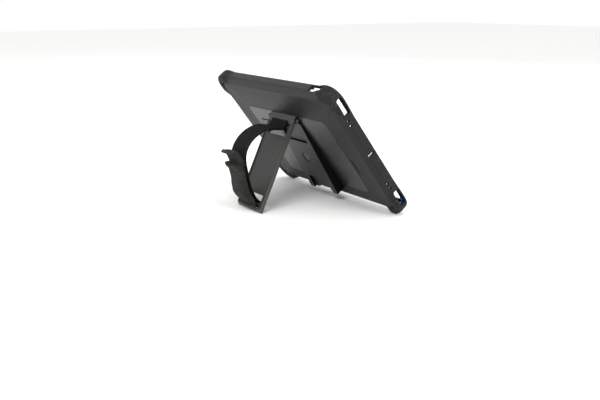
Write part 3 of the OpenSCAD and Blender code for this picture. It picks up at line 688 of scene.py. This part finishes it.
# ---------------------------------------------------------------- label
# A printed polyester film on the inner plate: black, with white fields and plain grey bars where
# such a label has its print. It carries no words or marks.
# Printed polyester film: even and half gloss, with faint cloudiness in the ink. The three inks are the
# film's black ground, its white fields and the grey of the bars.
inks = []
for ink, roughness, cloud_scale, detail, dark, light in (("black", 0.32, 90, 3, "#0f1010", "#1b1c1c"),
                                                         ("white", 0.4, 160, 4, "#dedfdb", "#f1f1ee"),
                                                         ("grey", 0.4, 160, 4, "#8c8e8b", "#a5a7a4")):
    film, tree, shader = new_material("printed_film_" + ink, IOR=1.6, Roughness=roughness)
    where = add(tree, "ShaderNodeTexCoord").outputs["Object"]
    cloud = add(tree, "ShaderNodeTexNoise", {"Vector": where, "Scale": cloud_scale, "Detail": detail})
    base = add(tree, "ShaderNodeMix", {"Factor": cloud.outputs[0], 6: linear(dark), 7: linear(light)},
               data_type="RGBA")
    tree.links.new(base.outputs[2], shader.inputs["Base Color"])
    inks.append(film)

LABEL_L, LABEL_W, CELL = 58.0, 56.0, 0.5
label_x = np.linspace(-LABEL_L / 2, LABEL_L / 2, round(LABEL_L / CELL) + 1)
label_y = np.linspace(-LABEL_W / 2, LABEL_W / 2, round(LABEL_W / CELL) + 1)
grid_y, grid_x = np.meshgrid(label_y, label_x, indexing="ij")
top_face = np.stack([grid_x, grid_y, np.full(grid_x.shape, SEAT - 0.16)], -1)
label_faces = quads(len(label_y), len(label_x), False, False)
middle = top_face.reshape(-1, 3)[label_faces].mean(1)


def field(x, y, half_x, half_y):
    """True for the cells whose middle lies in a rectangle."""
    return (np.abs(middle[:, 0] - x) < half_x) & (np.abs(middle[:, 1] - y) < half_y)


white = field(2, 4, 19, 14) | field(-17, 20, 8.5, 5) | field(15, -17, 8.5, 6) | field(23, 12, 4.5, 9)
bar_end = 14 + 5 * np.sin(middle[:, 1])
bars = (np.abs(middle[:, 1] % 3.5 - 1.75) < 0.5) & field(1, 5, 16, 11) & (middle[:, 0] < bar_end)
squares = field(15, -17, 6.5, 4.5) & ((np.floor(middle[:, 0] / 1.5) + np.floor(middle[:, 1] / 1.5)) % 2 > 0)
ring_mark = np.abs(np.hypot(middle[:, 0] + 17, middle[:, 1] - 20) - 3) < 0.7
print_index = np.where(white, 1, 0)
print_index = np.where((bars | squares | ring_mark) & white, 2, print_index)
border = np.concatenate([np.arange(len(label_x)),
                         np.arange(1, len(label_y)) * len(label_x) + len(label_x) - 1,
                         len(label_x) * len(label_y) - 2 - np.arange(len(label_x) - 1),
                         (np.arange(len(label_y) - 2, 0, -1)) * len(label_x)])
low = top_face.reshape(-1, 3)[border] + [0, 0, 0.14]
count = len(top_face.reshape(-1, 3))
step = np.arange(len(border))
skirt = np.stack([border, np.roll(border, -1), count + np.roll(step, -1), count + step], 1)
points = np.concatenate([top_face.reshape(-1, 3), low])
faces = label_faces.tolist() + skirt.tolist() + [(count + step).tolist()]
label = piece("label", in_case(points), faces, inks, 30,
              np.concatenate([print_index, np.zeros(len(border) + 1, int)]))
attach(label, "case")
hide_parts("rating_label")

# ---------------------------------------------------------------- metal parts and washers
# Zinc-plated screws and keeper disc, a ground stainless pin, a magnet coated in black epoxy and turned
# nylon washers keep their shape from the frame and get their finish here.
# Zinc plate: bluish grey, with the dull 2 mm flecks of the bath.
steel, tree, shader = new_material("zinc_plated_steel", Metallic=1.0)
where = add(tree, "ShaderNodeTexCoord").outputs["Object"]
spots = add(tree, "ShaderNodeTexNoise", {"Vector": where, "Scale": 500, "Detail": 4})
base = add(tree, "ShaderNodeMix", {"Factor": spots.outputs[0], 6: linear("#8d8f91"), 7: linear("#b4b6b8")},
           data_type="RGBA")
rough = add(tree, "ShaderNodeMapRange", {"Value": spots.outputs[0], "To Min": 0.24, "To Max": 0.45})
tree.links.new(base.outputs[2], shader.inputs["Base Color"])
tree.links.new(rough.outputs[0], shader.inputs["Roughness"])
# Centreless-ground stainless: fine rings round the pin, 0.25 mm apart.
ground_steel, tree, shader = new_material("ground_stainless_pin", Metallic=1.0)
where = add(tree, "ShaderNodeTexCoord").outputs["Object"]
turned = add(tree, "ShaderNodeMapping", {"Vector": where, "Scale": (4000, 60, 60)})
rings = add(tree, "ShaderNodeTexNoise", {"Vector": turned.outputs[0], "Scale": 1, "Detail": 2})
base = add(tree, "ShaderNodeMix", {"Factor": rings.outputs[0], 6: linear("#6d6f70"), 7: linear("#989a9b")},
           data_type="RGBA")
rough = add(tree, "ShaderNodeMapRange", {"Value": rings.outputs[0], "To Min": 0.2, "To Max": 0.4})
tree.links.new(base.outputs[2], shader.inputs["Base Color"])
tree.links.new(rough.outputs[0], shader.inputs["Roughness"])
# Epoxy coat: black, with an orange-peel surface of about 2.4 mm.
coated, tree, shader = new_material("black_epoxy_coated_magnet", IOR=1.55, Specular_IOR_Level=0.5)
where = add(tree, "ShaderNodeTexCoord").outputs["Object"]
dots = add(tree, "ShaderNodeTexVoronoi", {"Vector": where, "Scale": 420})
base = add(tree, "ShaderNodeMix",
           {"Factor": dots.outputs["Distance"], 6: linear("#4a4b49"), 7: linear("#1f2020")},
           data_type="RGBA")
bump = add(tree, "ShaderNodeBump",
           {"Strength": 0.6, "Distance": 0.0004, "Height": dots.outputs["Distance"]})
tree.links.new(base.outputs[2], shader.inputs["Base Color"])
tree.links.new(bump.outputs[0], shader.inputs["Normal"])
shader.inputs["Roughness"].default_value = 0.42
# Turned nylon: milky white and waxy.
nylon, tree, shader = new_material("turned_nylon", IOR=1.53, Roughness=0.45)
where = add(tree, "ShaderNodeTexCoord").outputs["Object"]
cloud = add(tree, "ShaderNodeTexNoise", {"Vector": where, "Scale": 300, "Detail": 3})
base = add(tree, "ShaderNodeMix", {"Factor": cloud.outputs[0], 6: linear("#cfccc2"), 7: linear("#e0ded6")},
           data_type="RGBA")
tree.links.new(base.outputs[2], shader.inputs["Base Color"])
for node, finish in (("plate_screws", steel), ("dock_screws", steel), ("hinge_pin", ground_steel),
                     ("keeper_disc", steel), ("dock_magnet", coated), ("hinge_washers", nylon)):
    for place_in_node in frame["nodes"][node].material_slots:
        place_in_node.material = finish

# ---------------------------------------------------------------- hand strap webbing
# Black polyester webbing, woven in a close rib. It is threaded down through the slits at the hinge,
# arches over the hand and goes back through the slits at the foot, where its end is stitched.
WEB_T, WEB_W = 1.6, 36.0
WEB_IN = -2.4
strap_line = [(7.7, 4.6), (7.7, WEB_IN), (13.4, WEB_IN), (14.2, 3), (14.7, 10), (16.2, 17), (19.4, 24),
              (24.4, 30.2), (30.6, 35.6), (37.6, 39.8), (45, 42.6), (52.6, 43.8), (60, 43.2), (66, 41),
              (71, 38.2), (76.6, 34), (82.6, 29.4), (88.6, 24.8), (94.2, 20), (99.4, 14.8), (103.6, 9.2),
              (106.4, 3), (107.4, WEB_IN), (113.9, WEB_IN), (113.9, 4.6)]
# Spun polyester, closely woven: black and nearly without gloss, greyer where fibres stand up.
web_yarn, tree, shader = new_material("woven_polyester_webbing", IOR=1.5, Specular_IOR_Level=0.08)
shader.inputs["Sheen Weight"].default_value = 0.02
shader.inputs["Sheen Roughness"].default_value = 0.5
cloth = add(tree, "ShaderNodeTexCoord").outputs["UV"]
split = add(tree, "ShaderNodeSeparateXYZ", {"Vector": cloth})
# Weft ribs about 1.1 mm apart and warp ends about 0.9 mm apart, both drawn twice as coarse.
ribs = add(tree, "ShaderNodeMath", {0: split.outputs[0], 1: 2 * math.pi / 0.0021}, operation="MULTIPLY")
ends = add(tree, "ShaderNodeMath", {0: split.outputs[1], 1: 2 * math.pi / 0.0018}, operation="MULTIPLY")
half = add(tree, "ShaderNodeMath", {0: ends.outputs[0], 1: 0.5, 2: ribs.outputs[0]},
           operation="MULTIPLY_ADD")
rib_wave = add(tree, "ShaderNodeMath", {0: half.outputs[0]}, operation="SINE")
end_wave = add(tree, "ShaderNodeMath", {0: ends.outputs[0]}, operation="SINE")
weave = add(tree, "ShaderNodeMath", {0: rib_wave.outputs[0], 1: end_wave.outputs[0]}, operation="MULTIPLY")
weave_tone = add(tree, "ShaderNodeMapRange", {"Value": weave.outputs[0], "From Min": -1, "From Max": 1})
where = add(tree, "ShaderNodeTexCoord").outputs["Object"]
fluff = add(tree, "ShaderNodeTexNoise", {"Vector": where, "Scale": 220, "Detail": 4})
base = add(tree, "ShaderNodeMix",
           {"Factor": weave_tone.outputs[0], 6: linear("#040404"), 7: linear("#161615")},
           data_type="RGBA")
worn = add(tree, "ShaderNodeMapRange",
           {"Value": fluff.outputs[0], "From Min": 0.5, "From Max": 0.8, "To Max": 0.25})
tone = add(tree, "ShaderNodeMix", {"Factor": worn.outputs[0], 6: base.outputs[2], 7: linear("#2a2a27")},
           data_type="RGBA")
rough = add(tree, "ShaderNodeMapRange", {"Value": fluff.outputs[0], "To Min": 0.7, "To Max": 0.9})
bump = add(tree, "ShaderNodeBump", {"Strength": 0.8, "Distance": 0.0004, "Height": weave.outputs[0]})
tree.links.new(tone.outputs[2], shader.inputs["Base Color"])
tree.links.new(rough.outputs[0], shader.inputs["Roughness"])
tree.links.new(bump.outputs[0], shader.inputs["Normal"])


def soft_line(points, tight, tight_count, steps):
    """A smooth line through a row of guide points: each corner is rounded as far as the middle of its
    shorter side, the first and last tight_count corners by a fixed small radius."""
    points = np.array(points, float)
    sides = np.linalg.norm(np.diff(points, axis=0), axis=1)
    radii = 0.499 * np.minimum(sides[:-1], sides[1:])
    if tight_count:
        radii[:tight_count] = np.minimum(tight, radii[:tight_count])
        radii[-tight_count:] = np.minimum(tight, radii[-tight_count:])
    return rounded_line(points, radii, steps)


def line_frame(line):
    """Length along a flat line up to each point, and the unit vector to its left there."""
    along = np.gradient(line, axis=0)
    along /= np.linalg.norm(along, axis=1)[:, None]
    length = np.concatenate([[0], np.cumsum(np.linalg.norm(np.diff(line, axis=0), axis=1))])
    return length, np.stack([-along[:, 1], along[:, 0]], 1)


def band_section(width, thickness, steps=5, rows=18):
    """A flat band's section as (across, out) points: two long faces of rows points, joined by round edges."""
    r = thickness / 2
    angle = np.radians(np.linspace(-90, 90, steps + 1))
    right_edge = np.stack([width / 2 - r + r * np.cos(angle), r * np.sin(angle)], 1)
    back = np.linspace(width / 2 - r, -width / 2 + r, rows + 1)[1:-1]
    top = np.stack([back, np.full(rows - 1, r)], 1)
    return np.concatenate([right_edge, top, right_edge[::-1] * [-1, 1], top[::-1] * [1, -1]])


def swept(line, section, name, materials, smooth_angle=50):
    """A band carried along a line in the leaf's plane: every section point (across, out) goes to the line's
    point plus out times the line's left normal. section is one row of points, or one row a station."""
    length, left = line_frame(line)
    section = np.broadcast_to(section, (len(line),) + np.shape(section)[-2:])
    place_in_plane = line[:, None] + section[..., 1:] * left[:, None]
    grid = np.stack([place_in_plane[..., 0], section[..., 0], place_in_plane[..., 1]], -1)
    rows, columns = grid.shape[:2]
    faces = quads(rows, columns, False, True).tolist()
    faces += [list(range(columns)), list(range((rows - 1) * columns, rows * columns))]
    along = np.broadcast_to(length[:, None], (rows, columns))
    uv = np.stack([along, section[..., 0]], -1).reshape(-1, 2) / 1000
    return piece(name, in_leaf(grid), faces, materials, smooth_angle, uv=uv)


web_path = soft_line(strap_line, 1.0, 3, 6)
web_band = band_section(WEB_W, WEB_T)
section = np.broadcast_to(web_band, (len(web_path),) + web_band.shape).copy()
web_length, _ = line_frame(web_path)
arch = np.clip((web_length - 22) / 14, 0, 1) * np.clip((web_length[-1] - 22 - web_length) / 14, 0, 1)
bow = 1 - (section[..., 0] / (WEB_W / 2)) ** 2
section[..., 1] += arch[:, None] * (0.7 * bow - 0.5)
edge_wave = 0.25 * np.sin(web_length / 9.0)[:, None] * (section[..., 0] / (WEB_W / 2)) ** 3
section[..., 1] += arch[:, None] * edge_wave
webbing = swept(web_path, section, "webbing", [web_yarn])
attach(webbing, "stand")
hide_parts("strap_webbing")

# The webbing's end is folded back over the bar between the two slits and up to the hinge, and sewn down.
fold_line = [(2.8, 4.0), (4.6, 4.2), (8.4, 4.9), (12.6, 5.2), (15.2, 6.6), (16.6, 10.6), (18.6, 16.4)]
fold_path = soft_line(fold_line, 1.0, 0, 6)
web_fold = swept(fold_path, band_section(WEB_W - 1.0, WEB_T), "webbing_fold", [web_yarn])
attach(web_fold, "stand")

# ---------------------------------------------------------------- padded sleeve
# A sleeve of woven nylon over foam, sewn along both edges and slipped over the webbing where it meets
# the back of the hand. It is creased where the strap bends.
# Woven nylon, worn: a dry brown-black cloth that is paler where it has rubbed.
sleeve_cloth, tree, shader = new_material("woven_nylon_over_foam", IOR=1.5, Specular_IOR_Level=0.12)
shader.inputs["Sheen Weight"].default_value = 0.05
shader.inputs["Sheen Roughness"].default_value = 0.45
cloth = add(tree, "ShaderNodeTexCoord").outputs["UV"]
split = add(tree, "ShaderNodeSeparateXYZ", {"Vector": cloth})
# Plain weave of about 0.7 mm, drawn as 1.7 mm so that it shows.
ribs = add(tree, "ShaderNodeMath", {0: split.outputs[0], 1: 2 * math.pi / 0.0017}, operation="MULTIPLY")
ends = add(tree, "ShaderNodeMath", {0: split.outputs[1], 1: 2 * math.pi / 0.0017}, operation="MULTIPLY")
rib_wave = add(tree, "ShaderNodeMath", {0: ribs.outputs[0]}, operation="SINE")
end_wave = add(tree, "ShaderNodeMath", {0: ends.outputs[0]}, operation="SINE")
weave = add(tree, "ShaderNodeMath", {0: rib_wave.outputs[0], 1: end_wave.outputs[0]}, operation="MULTIPLY")
weave_tone = add(tree, "ShaderNodeMapRange", {"Value": weave.outputs[0], "From Min": -1, "From Max": 1})
where = add(tree, "ShaderNodeTexCoord").outputs["Object"]
fade = add(tree, "ShaderNodeTexNoise", {"Vector": where, "Scale": 85, "Detail": 5, "Roughness": 0.65})
base = add(tree, "ShaderNodeMix",
           {"Factor": weave_tone.outputs[0], 6: linear("#11110f"), 7: linear("#252522")},
           data_type="RGBA")
worn = add(tree, "ShaderNodeMapRange",
           {"Value": fade.outputs[0], "From Min": 0.42, "From Max": 0.72, "To Max": 0.5})
tone = add(tree, "ShaderNodeMix", {"Factor": worn.outputs[0], 6: base.outputs[2], 7: linear("#3a3935")},
           data_type="RGBA")
rough = add(tree, "ShaderNodeMapRange", {"Value": fade.outputs[0], "To Min": 0.72, "To Max": 0.92})
bump = add(tree, "ShaderNodeBump", {"Strength": 0.7, "Distance": 0.0003, "Height": weave.outputs[0]})
tree.links.new(tone.outputs[2], shader.inputs["Base Color"])
tree.links.new(rough.outputs[0], shader.inputs["Roughness"])
tree.links.new(bump.outputs[0], shader.inputs["Normal"])

SLEEVE_W, SLEEVE_LOW, SLEEVE_T = 41.0, 1.05, 7.4
sleeve_path = soft_line([*strap_line[14:21], (105.4, 5.6), (109.6, 3.4), (116.4, 3.2)], 1.0, 0, 9)
sleeve_length, _ = line_frame(sleeve_path)
full = sleeve_length[-1]
around = np.linspace(0, 2 * np.pi, 72, endpoint=False)
cos_a, sin_a = np.cos(around), np.sin(around)
width_part = np.sign(cos_a) * np.abs(cos_a) ** 0.45
crown = np.sign(sin_a) * np.abs(sin_a) ** 0.75
u = sleeve_length[:, None] / full
upper_pinch = 0.3 * np.exp(-(sleeve_length / 1.6) ** 2)
lower_pinch = 0.78 * np.exp(-((full - sleeve_length) / 9) ** 2)
end_pinch = 1 - upper_pinch - lower_pinch
waist = 1 - 0.035 * np.sin(np.pi * u) ** 2
across_sleeve = SLEEVE_W / 2 * waist * width_part
half_thick = SLEEVE_T / 2 * end_pinch[:, None] * (0.25 + 0.75 * (1 - np.abs(width_part) ** 4))
out_of_strap = SLEEVE_LOW + SLEEVE_T / 2 + half_thick * crown
# Creases: shallow valleys that cross the sleeve at a slant, deepest on its outer face.
crease = np.zeros_like(out_of_strap)
for middle_u, slant, depth, breadth in ((0.16, 0.10, 0.9, 0.03), (0.33, -0.16, 0.8, 0.035),
                                        (0.47, 0.2, 1.2, 0.03),
                                        (0.62, -0.08, 1.0, 0.035), (0.8, 0.14, 0.9, 0.03)):
    from_valley = u - middle_u - slant * across_sleeve / SLEEVE_W
    reach_across = np.exp(-((across_sleeve / SLEEVE_W - 0.8 * slant) / 0.34) ** 2)
    crease += depth * reach_across * np.exp(-(from_valley / breadth) ** 2)
ripple = 0.3 * np.sin(9 * np.pi * u + 2.0 * across_sleeve / SLEEVE_W) * np.sin(np.pi * u)
outer_face = np.clip(crown, 0, 1)
out_of_strap = out_of_strap - outer_face * (crease + ripple)
# The outer cloth flares at the upper end, where the sleeve is open, and bulges where the strap turns in.
lip = 6.5 * np.exp(-(sleeve_length / 5.5) ** 2)[:, None] * (0.75 - 0.25 * across_sleeve / SLEEVE_W)
bulge_low = 3.6 * np.exp(-((u - 0.6) / 0.2) ** 2)
out_of_strap = out_of_strap + outer_face * (lip + bulge_low)
section = np.stack([np.broadcast_to(across_sleeve, out_of_strap.shape), out_of_strap], -1)
sleeve = swept(sleeve_path, section, "sleeve", [sleeve_cloth], 60)
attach(sleeve, "stand")
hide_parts("strap_sleeve")

# ---------------------------------------------------------------- closing tab
# The strap's hook-and-loop end: a doubled band of the sleeve's cloth that is folded up off the sleeve
# to be gripped. Its edges are turned in and stitched.
tab_root = np.array([71.0, 38.2]) + 2.2 * np.array([0.6, 0.8])
tab_line = tab_root + np.array([(0.4, -0.3), (-1.8, 1.6), (-4.6, 4.4), (-7.4, 7.8), (-9.6, 11.4),
                                (-10.6, 15.0), (-8.8, 17.6), (-5.6, 17.8)])
tab_path = soft_line(tab_line, 1.0, 0, 7)
tab_length, _ = line_frame(tab_path)
tab_band = band_section(38.0, 2.8, 5, 22)
section = np.broadcast_to(tab_band, (len(tab_path),) + tab_band.shape).copy()
share = (tab_length / tab_length[-1])[:, None]
y_share = section[..., 0] / 19
section[..., 1] += 1.6 * share ** 2 * np.sin(2.2 * y_share + 0.5) - 0.9 * share * y_share ** 2
section[..., 1] += 0.35 * share * np.sin(5 * y_share + 3 * share)
section[..., 0] *= 1 - 0.05 * share * np.abs(y_share)
tab = swept(tab_path, section, "closing_tab", [sleeve_cloth], 60)
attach(tab, "stand")
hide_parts("strap_tab")


# ---------------------------------------------------------------- stitches
# Bonded polyester thread, lockstitched along both edges of the webbing and of the closing tab. Each
# visible stitch is a small spindle that lies in the cloth.
# Twisted thread: plies about 0.7 mm apart show as a change of tone.
thread, tree, shader = new_material("bonded_polyester_thread", IOR=1.5, Roughness=0.6)
where = add(tree, "ShaderNodeTexCoord").outputs["Object"]
plies = add(tree, "ShaderNodeTexNoise", {"Vector": where, "Scale": 1500, "Detail": 2})
base = add(tree, "ShaderNodeMix", {"Factor": plies.outputs[0], 6: linear("#1c1c1b"), 7: linear("#3a3a37")},
           data_type="RGBA")
tree.links.new(base.outputs[2], shader.inputs["Base Color"])
STITCH_PITCH, STITCH_SHARE = 2.6, 0.7


def stitch_row(start, ends, lift_dir, size):
    """Spindle-shaped stitches, one for each pair of end points: six-sided rings at the ends and the middle
    of each, swollen in the middle and raised along lift_dir."""
    start, ends, lift_dir = (np.asarray(a, float) for a in (start, ends, lift_dir))
    along = ends - start
    side = np.cross(along, lift_dir)
    side /= np.linalg.norm(side, axis=1)[:, None]
    angle = np.radians(np.arange(0, 360, 60))
    rings = []
    for share_along, radius in ((0.0, 0.25), (0.25, 0.85), (0.5, 1.0), (0.75, 0.85), (1.0, 0.25)):
        middle_of_ring = start + share_along * along
        rings.append(middle_of_ring[:, None] + size * radius * (np.cos(angle)[None, :, None] * side[:, None]
                     + np.sin(angle)[None, :, None] * lift_dir[:, None]))
    points = np.stack(rings, 1)
    one = quads(5, 6, False, True).tolist() + [list(range(6)), list(range(24, 30))]
    faces = [[30 * i + j for j in face] for i in range(len(start)) for face in one]
    return points.reshape(-1, 3), faces


def edge_stitches(path, across, out):
    """Start, end and lift direction of stitches that follow a line at a fixed distance across and out."""
    length, left = line_frame(path)
    starts = np.arange(2.5, length[-1] - 2.5, STITCH_PITCH)
    result = []
    for at in (starts, starts + STITCH_SHARE * STITCH_PITCH):
        s = np.interp(at, length, path[:, 0]) + out * np.interp(at, length, left[:, 0])
        n = np.interp(at, length, path[:, 1]) + out * np.interp(at, length, left[:, 1])
        result.append(np.stack([s, np.full(len(at), across), n], 1))
    lift_here = np.stack([np.interp(starts, length, left[:, 0]), np.zeros(len(starts)),
                          np.interp(starts, length, left[:, 1])], 1)
    return result[0], result[1], lift_here


seams = []
for s in (-1, 1):
    seams.append(stitch_row(*edge_stitches(web_path[50:-50], s * 16.2, 0.92), 0.22))
    seams.append(stitch_row(*edge_stitches(tab_path, s * 16.6, 1.5), 0.25))
points, faces = joined(seams)
stitches = piece("edge_stitches", in_leaf(points), faces, [thread], 60)
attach(stitches, "stand")

# ---------------------------------------------------------------- floor and light
# A pale studio floor and three soft lights.
stage_mesh = bpy.data.meshes.new("studio_floor")
stage_mesh.from_pydata([(-6, -6, 0), (6, -6, 0), (6, 6, 0), (-6, 6, 0)], [], [(0, 1, 2, 3)])
studio_floor = bpy.data.objects.new("studio_floor", stage_mesh)
bpy.context.scene.collection.objects.link(studio_floor)
pale, tree, shader = new_material("pale_studio_floor", Roughness=0.9, Specular_IOR_Level=0.1)
shader.inputs["Base Color"].default_value = linear("#f6f6f5")
stage_mesh.materials.append(pale)
world = bpy.data.worlds.new("studio")
bpy.context.scene.world = world
world.use_nodes = True
world.node_tree.nodes["Background"].inputs["Color"].default_value = (1, 1, 1, 1)
world.node_tree.nodes["Background"].inputs["Strength"].default_value = 1.0
for name, spot, aim, size, power in (("key", (-0.9, 1.2, 1.5), (0, 0, 0.05), 1.0, 22),
                                     ("side", (-1.6, -0.3, 0.9), (0, 0, 0.08), 0.9, 12),
                                     ("front", (0.8, -1.5, 1.2), (0, 0, 0.08), 1.2, 14)):
    light = bpy.data.objects.new(name, bpy.data.lights.new(name, "AREA"))
    bpy.context.scene.collection.objects.link(light)
    light.data.size, light.data.energy = size, power
    direction = np.array(spot) - np.array(aim)
    side = np.cross([0, 0, 1], direction)
    side /= np.linalg.norm(side)
    direction /= np.linalg.norm(direction)
    matrix = np.eye(4)
    matrix[:3, :3] = np.array([side, np.cross(direction, side), direction]).T
    matrix[:3, 3] = spot
    light.matrix_world = Matrix(matrix)
bpy.context.scene.view_settings.view_transform = "Standard"
